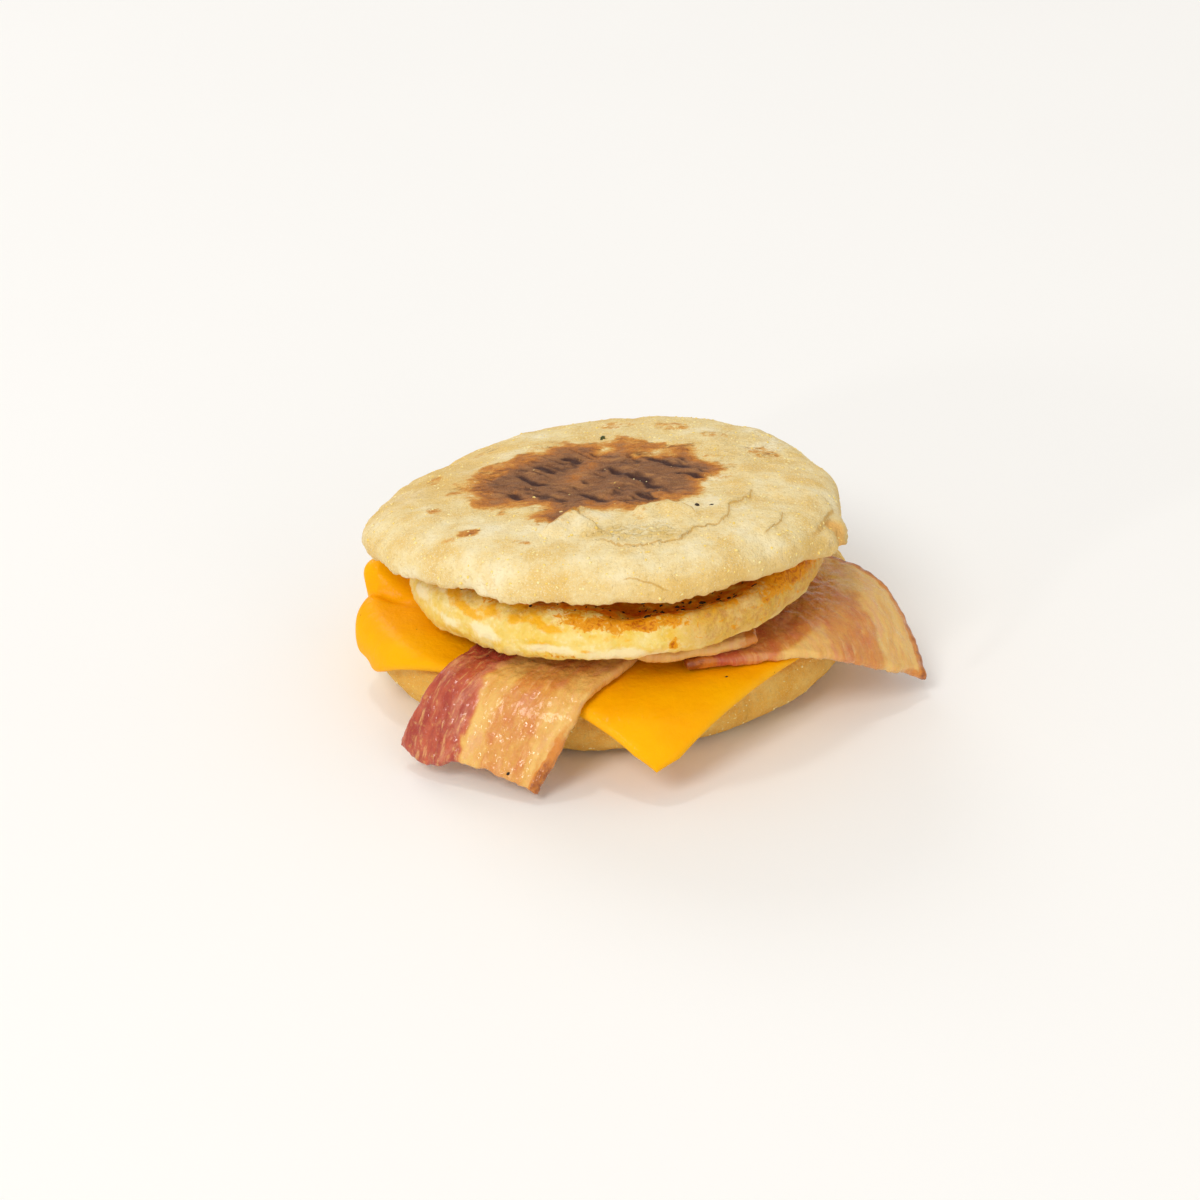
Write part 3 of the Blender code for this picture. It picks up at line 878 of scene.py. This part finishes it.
def egg_colours(share, degrees, level, wander, above):
    """The fields that colour the egg, from places round it and heights above its middle in mm."""
    arc = EGG_RADIUS / MM * math.radians(1.0)

    def marks(parts):
        found = np.zeros(len(level))
        for at, height, width, tall, strength in parts:
            across = (degrees - at) * arc + 1.5 * wander
            mark = bell(across, width) * bell(level - height + 0.7 * wander, tall)
            found = np.maximum(found, strength * mark)
        return found * (share > 0.80)

    lip = 0.885 + 0.053 * open_front(np.radians(degrees))
    crusted = between(degrees, -114.0, -104.0, -76.0, -68.0)
    brown = np.maximum(marks(BROWN_PARTS), 0.55 * bell(share - lip, 0.02) * above)
    brown = np.maximum(brown, 0.68 * crusted * bell(level - 10.9 - 0.9 * wander, 1.2) * (share > lip))
    # The right end grows darker and warmer: partly golden browning, partly painted shade on the side
    # turned from the light. There is a weaker warm tone at the top of the left side, and brown takes in
    # the right end too.
    warm = grows(degrees, -86.0, -66.0) * grows(level, 3.0, 8.0)
    warm = np.maximum(warm, 0.35 * falls(degrees, -138.0, -118.0) * grows(level, 7.0, 11.0))
    far_right = grows(degrees, -56.0, -40.0) * grows(level, 9.5, 12.0)
    brown = np.maximum(brown, (0.25 + 0.55 * far_right) * warm * (degrees > -90))
    dish = falls(share - 0.010 * wander, lip - 0.021, lip + 0.004) * above
    return dict(yolk=marks(YOLK_PARTS), brown=brown, white=marks(WHITE_PARTS), warm=warm, dish=dish)


def make_egg():
    profiles = EGG_UNDER + EGG_SIDE + EGG_OVER, EGG_UNDER + OPEN_SIDE + OPEN_OVER
    outline = wavy(EGG_RADIUS, EGG_WAVES)
    piece, share, height, angle = round_piece(
        "egg_fried", profiles[0], EGG_MESH, outline, profiles[1], open_front
    )
    points, normals = points_of(piece), normals_of(piece)
    wander = rough(points, 6, 4, 41.0)
    bumps = bumpy(points, (0.45, 9, 3, 31.0), (0.34, 3.2, 3, 34.0), (0.18, 1.2, 3, 37.0))
    points = pushed(points, normals, bumps)
    points[:, 2] *= np.minimum(1.0, 0.94 - 0.52 * points[:, 1] / EGG_RADIUS)
    points = leaning(points, EGG_CENTRE, EGG_LEAN)
    under_muffin = points - np.array(TOP_CENTRE)
    under_muffin[:, 2] = -GAP
    ceiling = leaning(under_muffin, TOP_CENTRE, TOP_LEAN)[:, 2]
    points[:, 2] = np.minimum(np.maximum(points[:, 2], FIRST_LAYER - 0.5 * GAP), ceiling)
    move_points(piece, points)
    level = (points[:, 2] - EGG_CENTRE[2]) / MM
    above = grows(height / MM, 4.5, 5.5) * (share < 0.96)
    paint(piece, **egg_colours(share, from_behind(angle), level, wander, above))
    return piece


# Cheese and bacon, which lie over the lower muffin half and bend down round its rim


def over_rim(flat, rim, bend, steepest, level, lift):
    """Lays flat points over the muffin and lets what lies past the rim bend down round its edge."""
    radius = np.hypot(flat[:, 0], flat[:, 1])
    past = np.maximum(0.0, radius - rim)
    angle = np.minimum(past / bend, steepest)
    straight = past - bend * angle
    out = np.minimum(radius, rim) + bend * np.sin(angle) + straight * np.cos(angle) + lift * np.sin(angle)
    drop = bend * (1.0 - np.cos(angle)) + straight * np.sin(angle)
    turn = out / np.maximum(radius, 1e-9)
    return np.stack([flat[:, 0] * turn, flat[:, 1] * turn, level - drop + lift * np.cos(angle)], axis=1)


CHEESE_CREASE = ((-49.5, -7.0), (-46.5, -8.3), (-42.0, -10.2), (-38.0, -12.0))


def cheese_flat(u, v):
    """The slice laid flat, with one hollow side, one bulging side and blunt corners."""
    front, right, left, back = np.array(CHEESE_CORNERS)
    a, b = u[:, None], v[:, None]
    flat = (front * (1 - a) + right * a) * (1 - b) + (left * (1 - a) + back * a) * b
    hollow = 0.0050 * np.sin(math.pi * v) * (1.0 - v) ** 1.5 * (1.0 - u)
    bulge = 0.0085 * bell(u - 0.33, 0.16) * grows(v, 0.6, 1.0)
    flat = flat + hollow[:, None] * (0.3, 1.0) + bulge[:, None] * (-1.0, 0.35)
    blunt = 0.0016 * np.maximum(0.0, np.abs(u - 0.5) + np.abs(v - 0.5) - 0.92) / 0.08
    return flat * (1.0 - blunt / np.linalg.norm(flat, axis=1))[:, None]


def fold_cheese(points, flat, u, v):
    """Folds the left corner along the crease and ruffles the slice behind it."""
    x, y = points[:, 0] / MM, points[:, 1] / MM
    distance, side, gone = to_line(x, y, CHEESE_CREASE)
    near_edge = falls(x, -40.0, -34.0)
    ruffle = 2.8 * bell(flat[:, 0] + 0.046, 0.008) * bell(flat[:, 1] + 0.004, 0.007)
    raised = 2.3 * grows(side * distance, -0.6, 2.4) * bell(np.hypot(x + 45.5, y + 2.0), 6.5)
    sunk = 1.3 * bell(distance, 1.5) * falls(gone, 0.6, 1.2)
    notch = bell(np.hypot(x + 49.0, y + 8.0), 3.0)
    corner = bell(np.hypot(u, 1.0 - v) * CHEESE_SIDES[0] / MM, 4.0)
    points[:, 0] += MM * (1.8 * notch - 0.9 * near_edge * bell(y + 14.0, 5.0) + 1.6 * corner)
    points[:, 2] += MM * (ruffle + near_edge * (raised - sunk) + 0.8 * corner)


def make_cheese():
    def surface(u, v, h):
        flat = cheese_flat(u, v)
        across = flat[:, 0] / np.linalg.norm(flat, axis=1)
        at_left, at_right = falls(across, -0.75, -0.25), grows(across, 0.74, 0.94)
        rim = CHEESE_RIM + 0.0002 * at_left
        bend = 0.016 - 0.0115 * at_left - 0.007 * at_right
        steepest = np.radians(62 + 24 * at_left)
        points = over_rim(flat, rim, bend, steepest, BOTTOM_HEIGHT + GAP, h * CHEESE_THICKNESS)
        fold_cheese(points, flat, u, v)
        return points

    piece, u, v = sheet_piece("cheese_sheet", surface, CHEESE_MESH, CHEESE_SIDES, CHEESE_EDGE)
    points = points_of(piece)
    move_points(piece, pushed(points, normals_of(piece), bumpy(points, (0.12, 9, 2, 51.0))))
    from_edge = np.minimum(np.minimum(u, 1 - u), np.minimum(v, 1 - v)) * CHEESE_SIDES[0] / MM
    # Marks the rounded edges for a painted highlight.
    paint(piece, pale=bell(from_edge, 0.9))
    return piece


# On every strip u is the share of its length and v that of its width. Its edges function gives where the
# two long edges lie in v, its reach function how much further than u = 1 the end goes at v, and its meat
# function the fields lean and rind, where side is v measured between the edges. On bacon_right both fields
# also carry painted shade where bacon_middle covers its low edge.


def left_edges(u):
    return 0.10 * bell(u - 0.70, 0.20), 1.02 - 0.03 * grows(u, 0.85, 1.0)


def left_reach(v):
    return 0.02 + 0.06 * bell(v - 0.25, 0.22) - 0.02 * bell(v - 0.44, 0.07)


def left_meat(u, v, side):
    border = 0.40 + 0.07 * grows(u, 0.66, 0.78)
    dark = falls(v, border - 0.05, border)
    pink = between(v, 0.56, 0.61, 0.82, 0.88)
    wide = 0.035 * grows(u, 0.6, 0.8)
    rind = grows(side + wide, 0.955, 0.985) * (0.3 + 0.7 * grows(u, 0.64, 0.92))
    return 0.84 * dark + 0.24 * pink + 0.10, rind


def right_edges(u):
    """The low edge goes on under bacon_middle."""
    return 0.045 * bell(u - 0.45, 0.3) - 0.25 * grows(u, 0.55, 0.85), 0.90 + 0.12 * grows(u, 0.45, 0.87)


def right_reach(v):
    return 0.07 * (1.0 - v) - 0.045 * grows(v, 0.6, 1.0) + 0.25 * np.minimum(v, 0.0)


def right_meat(u, v, side):
    meat = falls(v, 0.68, 0.76)
    wedge = grows(np.minimum(0.46 - v, v - 0.45 + 1.7 * (u - 0.83)), 0.0, 0.05)
    dark = falls(v, 0.32, 0.42) * (1 - wedge) * (0.35 + 0.65 * falls(u, 0.48, 0.6))
    # Painted shade: where bacon_middle covers this strip's low edge, the edge is made dark meat and dark
    # browned rind.
    shade_under_middle = falls(v, -0.08, 0.02)
    rind = np.maximum(1.1 * falls(v, -0.24, 0.0), grows(side, 0.93, 0.98))
    return (0.34 * meat + 0.24 * dark) * (1.0 - wedge) + 0.04 + 0.4 * shade_under_middle, rind


def middle_edges(u):
    return 0.0, 1.0


def middle_reach(v):
    return 0.02 - 0.07 * falls(v, 0.0, 0.3) - 0.15 * v * v


def middle_meat(u, v, side):
    return 0.26 * bell(v - 0.25, 0.3) - 0.14, 0.75 * grows(side, 0.86, 0.94)


def wobbly(distance, size, shift):
    """Noise along a line, at distances in metres."""
    return rough(np.stack([distance, 0 * distance, 0 * distance], axis=1), size, 4, shift)


# Name, route over the muffin, widths at both ends, skew of the far end, drape as rim, bend and steepest
# angle, height of the layer, the functions above and the shift of its noise
STRIPS = (
    ("bacon_left", ((0.0020, -0.0200), (-0.0141, -0.0382), (-0.0298, -0.0562)), (0.0250, 0.0327), -0.10,
     (0.0475, 0.008, 68), FIRST_LAYER, (left_edges, left_reach, left_meat), 60.0),
    ("bacon_right", ((0.0140, 0.0060), (0.0340, -0.0110), (0.0436, -0.0325)), (0.0380, 0.0410), 0.19,
     (0.0460, 0.012, 45), FIRST_LAYER, (right_edges, right_reach, right_meat), 70.0),
    ("bacon_middle", ((0.0100, -0.0020), (0.0120, -0.0220), (0.0145, -0.0430)), (0.0250, 0.0270), 0.06,
     (0.0600, 0.012, 30), SECOND_LAYER, (middle_edges, middle_reach, middle_meat), 80.0),
)


def make_bacon(name, route, widths, skew, drape, layer, shape, shift):
    start, middle, end = np.array(route)
    first_width, last_width = widths
    rim, bend, steepest = drape
    edges, reach, meat = shape
    length = float(np.linalg.norm(end - start))

    def surface(u, v, h):
        low, high = edges(u)
        v = low + 0.012 * wobbly(u * length, 5, shift) + (high - low) * v
        u = u * (1.0 + reach(v) + 0.010 * wobbly(v * last_width, 4, shift + 3))
        t = (u + skew * (v - 0.5) * grows(u, 0.45, 1.0))[:, None]
        centre = start * (1 - t) ** 2 + 2 * middle * t * (1 - t) + end * t**2
        way = (middle - start) * (1 - t) + (end - middle) * t
        across = np.stack([-way[:, 1], way[:, 0]], axis=1) / np.linalg.norm(way, axis=1, keepdims=True)
        width = first_width + (last_width - first_width) * u
        flat = centre + across * (width * (v - 0.5))[:, None]
        points = over_rim(flat, rim, bend, math.radians(steepest), layer, h * BACON_THICKNESS)
        points[:, 2] += 0.0005 * np.sin(9.0 * u + 2.0 * v) * grows(u, 0.5, 0.8)
        return points

    sides = (length, last_width)
    piece, u, side = sheet_piece(name + "_strip", surface, BACON_MESH, sides, BACON_EDGE)
    low, high = edges(u)
    v = low + (high - low) * side
    points = points_of(piece)
    bumps = bumpy(points, (0.28, 5, 3, shift), (0.16, 2.0, 3, shift + 5))
    points = pushed(points, normals_of(piece), bumps)
    move_points(piece, points)
    wander = 0.035 * rough(points, 4, 3, shift + 9)
    lean, rind = meat(u, v + wander, side + 0.4 * wander)
    end_brown = (0.30 + 0.5 * grows(side, 0.8, 1.0)) * grows(u, 0.98, 1.0)
    along, across = u * length, v * last_width + shift * 0.01
    paint(piece, lean=lean, rind=np.maximum(rind, end_brown), along=along, across=across)
    return piece


# Small things scattered on the food

LUMP_SIDES = 6
LUMP_RINGS = ((-0.7, 0.6), (0.1, 1.0), (0.7, 0.55))
LUMP_RADII = ((0.4, 0.7), (0.25, 0.5), (0.2, 0.35))


def scatter(name, spots, size, seed):
    """Joined little lumps of about size mm across, one at each (place, normal), no two alike."""
    chance = random.Random(seed)
    points, faces = [], []
    for place, normal in spots:
        spin = Matrix.Rotation(chance.uniform(0, math.tau), 3, "Z")
        turn = Vector(normal).to_track_quat("Z", "Y").to_matrix() @ spin
        spread = size * MM * (0.6 + 1.4 * chance.random() ** 3)
        length, width, height = (spread * chance.uniform(*limits) for limits in LUMP_RADII)
        first = len(points)
        for level, share in LUMP_RINGS:
            for step in range(LUMP_SIDES):
                angle = math.tau * (step + 0.5 * (level > 0)) / LUMP_SIDES
                reach = share * chance.uniform(0.75, 1.1)
                out = (length * reach * math.cos(angle), width * reach * math.sin(angle), height * level)
                points.append(Vector(place) + turn @ Vector(out))
        rings = [[first + ring * LUMP_SIDES + step for step in range(LUMP_SIDES)] for ring in range(3)]
        for lower, upper in zip(rings, rings[1:]):
            faces += zip(lower, lower[1:] + lower[:1], upper[1:] + upper[:1], upper)
        faces += [tuple(reversed(rings[0])), tuple(rings[-1])]
    return make_piece(name, np.array(points), faces)


def places_on(piece, wanted, count, seed):
    """count random (place, normal) pairs on the faces of piece that wanted(middles, normals) picks."""
    chance = np.random.default_rng(seed)
    faces = piece.data.polygons
    middles, normals, areas = np.empty(3 * len(faces)), np.empty(3 * len(faces)), np.empty(len(faces))
    faces.foreach_get("center", middles)
    faces.foreach_get("normal", normals)
    faces.foreach_get("area", areas)
    middles, normals = middles.reshape(-1, 3), normals.reshape(-1, 3)
    odds = areas * wanted(middles, normals)
    picked = chance.choice(len(faces), count, p=odds / odds.sum())
    return [(tuple(middles[index]), tuple(normals[index])) for index in picked]


def from_top_middle(places):
    """The x and y of places, in mm from the middle of the upper half."""
    return (places[:, :2] - TOP_CENTRE[:2]).T / MM


def place_at(piece, x, y):
    """The (place, normal) of the highest point of piece near x, y in mm from the upper half's middle."""
    points = points_of(piece)
    point_x, point_y = from_top_middle(points)
    index = int(np.argmax(points[:, 2] - (np.hypot(point_x - x, point_y - y) > 0.6)))
    return tuple(points[index]), tuple(normals_of(piece)[index])


def make_cornmeal(muffin_top, muffin_bottom):
    def on_crust(middles, normals):
        from_patch = -inside(*from_top_middle(middles), PATCH)
        return (normals[:, 2] > -0.35) * (0.05 + 0.95 * grows(from_patch, 1.2, 5.2))

    def on_side(middles, normals):
        return np.abs(normals[:, 2]) < 0.8

    spots = places_on(muffin_top, on_crust, 1500, 1) + places_on(muffin_bottom, on_side, 600, 2)
    return scatter("cornmeal", spots, 0.42, 3)


def make_pepper(muffin_top, egg, cheese, bacon):
    def in_dish(middles, normals):
        near = np.hypot(middles[:, 0] - EGG_CENTRE[0], middles[:, 1] - EGG_CENTRE[1])
        return (normals[:, 2] > 0.5) & (near < 0.93 * EGG_RADIUS) & (middles[:, 2] > 0.02)

    def front_of_dish(middles, normals):
        return in_dish(middles, normals) & (middles[:, 1] < -0.032) & (middles[:, 0] > -0.012)

    def on_strip(middles, normals):
        return normals[:, 2] > 0.2

    spots = places_on(egg, front_of_dish, 80, 4) + places_on(egg, in_dish, 100, 5)
    spots += places_on(bacon, on_strip, 5, 6) + [place_at(cheese, 20.4, -37.5)]
    spots += [place_at(muffin_top, x, y) for x, y in ((16, -17.6), (18.6, -18.6))]
    return scatter("black_pepper", spots, 0.8, 8)


def make_herb(muffin_top):
    spots = [place_at(muffin_top, x, y) for x, y in ((-1.9, 24.4), (-1.3, 25.2), (-1.6, 25.9))]
    return scatter("herb_fleck", spots, 1.3, 9)


# Stage

# Name, place, size, power and colour
LIGHTS = (
    ("key_light", (-1.6, -2.6, 3.2), 1.8, 65.0, (1.0, 0.97, 0.92)),
    ("fill_light", (1.7, -2.6, 1.2), 1.4, 6.0, (1.0, 0.98, 0.95)),
    ("spark_light", (-1.6, -1.7, 0.65), 0.20, 5.5, (1.0, 0.98, 0.95)),
    ("top_light", (-0.4, 0.15, 2.4), 0.25, 5.0, (1.0, 0.98, 0.95)),
    ("back_light", (-1.4, 2.8, 2.2), 1.6, 20.0, (0.97, 0.98, 1.0)),
)
LIGHTS_AIM = (0, 0, 0.02)
CAMERA_AIM = (-0.0021, -0.0039, 0.0116)
CAMERA_ELEVATION, CAMERA_DISTANCE, CAMERA_ROLL = 29.78, 0.6566, -1.67


def add_floor():
    corners = np.array([(-6, -6, 0), (6, -6, 0), (6, 6, 0), (-6, 6, 0)])
    floor = make_piece("floor", corners, [(0, 1, 2, 3)])
    look = Look("floor")
    colour = look.ramp(look.noise(300), (0.3, (249, 248, 246)), (0.7, (251, 250, 248)))
    floor.data.materials.append(look.finish(colour, 0.6, look.bump(look.noise(50), 0.1), 0.3))


def light_scene():
    world = bpy.data.worlds.new("world")
    bpy.context.scene.world = world
    world.use_nodes = True
    sky = world.node_tree.nodes["Background"].inputs
    sky["Color"].default_value = (1.0, 0.985, 0.96, 1.0)
    sky["Strength"].default_value = 0.60
    for name, place, size, power, colour in LIGHTS:
        data = bpy.data.lights.new(name, "AREA")
        data.shape = "DISK"
        data.size = size
        data.energy = power
        data.color = colour
        light = add_object(name, data)
        light.location = place
        light.rotation_euler = (Vector(LIGHTS_AIM) - Vector(place)).to_track_quat("-Z", "Y").to_euler()
    settings = bpy.context.scene.view_settings
    settings.view_transform = "Standard"
    settings.look = "None"


def add_camera():
    """A long lens that looks down on the front of the sandwich, turned a little about its own axis."""
    data = bpy.data.cameras.new("camera")
    data.lens = 100.0
    data.sensor_width = 36.0
    camera = add_object("camera", data)
    elevation = math.radians(CAMERA_ELEVATION)
    back = Vector((0.0, -math.cos(elevation), math.sin(elevation)))
    turn = (-back).to_track_quat("-Z", "Y").to_matrix()
    turn = turn @ Matrix.Rotation(math.radians(CAMERA_ROLL), 3, "Z")
    camera.matrix_world = Matrix.Translation(Vector(CAMERA_AIM) + back * CAMERA_DISTANCE) @ turn.to_4x4()
    bpy.context.scene.camera = camera


def main():
    add_camera()
    muffin_top, muffin_bottom = make_muffin_top(), make_muffin_bottom()
    egg, cheese = make_egg(), make_cheese()
    strips = [make_bacon(*row) for row in STRIPS]
    top_crust = crust_look("muffin_crust_top", (246, 222, 160), (236, 200, 126), (253, 238, 196))
    # The lower half's crust is a deeper orange than the top's: partly less flour, partly painted orange
    # light reflected from the cheese.
    bottom_crust = crust_look("muffin_crust_bottom", (238, 184, 84), (226, 164, 64), (246, 206, 118))
    replacing = [
        (muffin_top, "muffin_top", "muffin_crust", top_crust),
        (muffin_bottom, "muffin_bottom", "muffin_crust", bottom_crust),
        (egg, "egg_patty", "egg", egg_look()),
        (cheese, "cheese_slice", "cheese", cheese_look()),
    ]
    meat = bacon_look()
    replacing += [(strip, row[0], "bacon", meat) for strip, row in zip(strips, STRIPS)]
    meal = speck_look("cornmeal_grain", (254, 238, 176), (250, 216, 110), 0.5)
    pepper = speck_look("pepper_grain", (30, 22, 16), (62, 44, 28), 0.6)
    herb = speck_look("herb_leaf", (84, 92, 30), (52, 62, 24), 0.6)
    scattered = [
        (make_cornmeal(muffin_top, muffin_bottom), None, "muffin_crust", meal),
        (make_pepper(muffin_top, egg, cheese, strips[0]), None, "egg", pepper),
        (make_herb(muffin_top), None, "muffin_crust", herb),
    ]
    for piece, node, slot, material in replacing + scattered:
        piece.data.materials.append(material)
        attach(piece, "root")
        if node:
            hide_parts(node)
    add_floor()
    light_scene()


main()
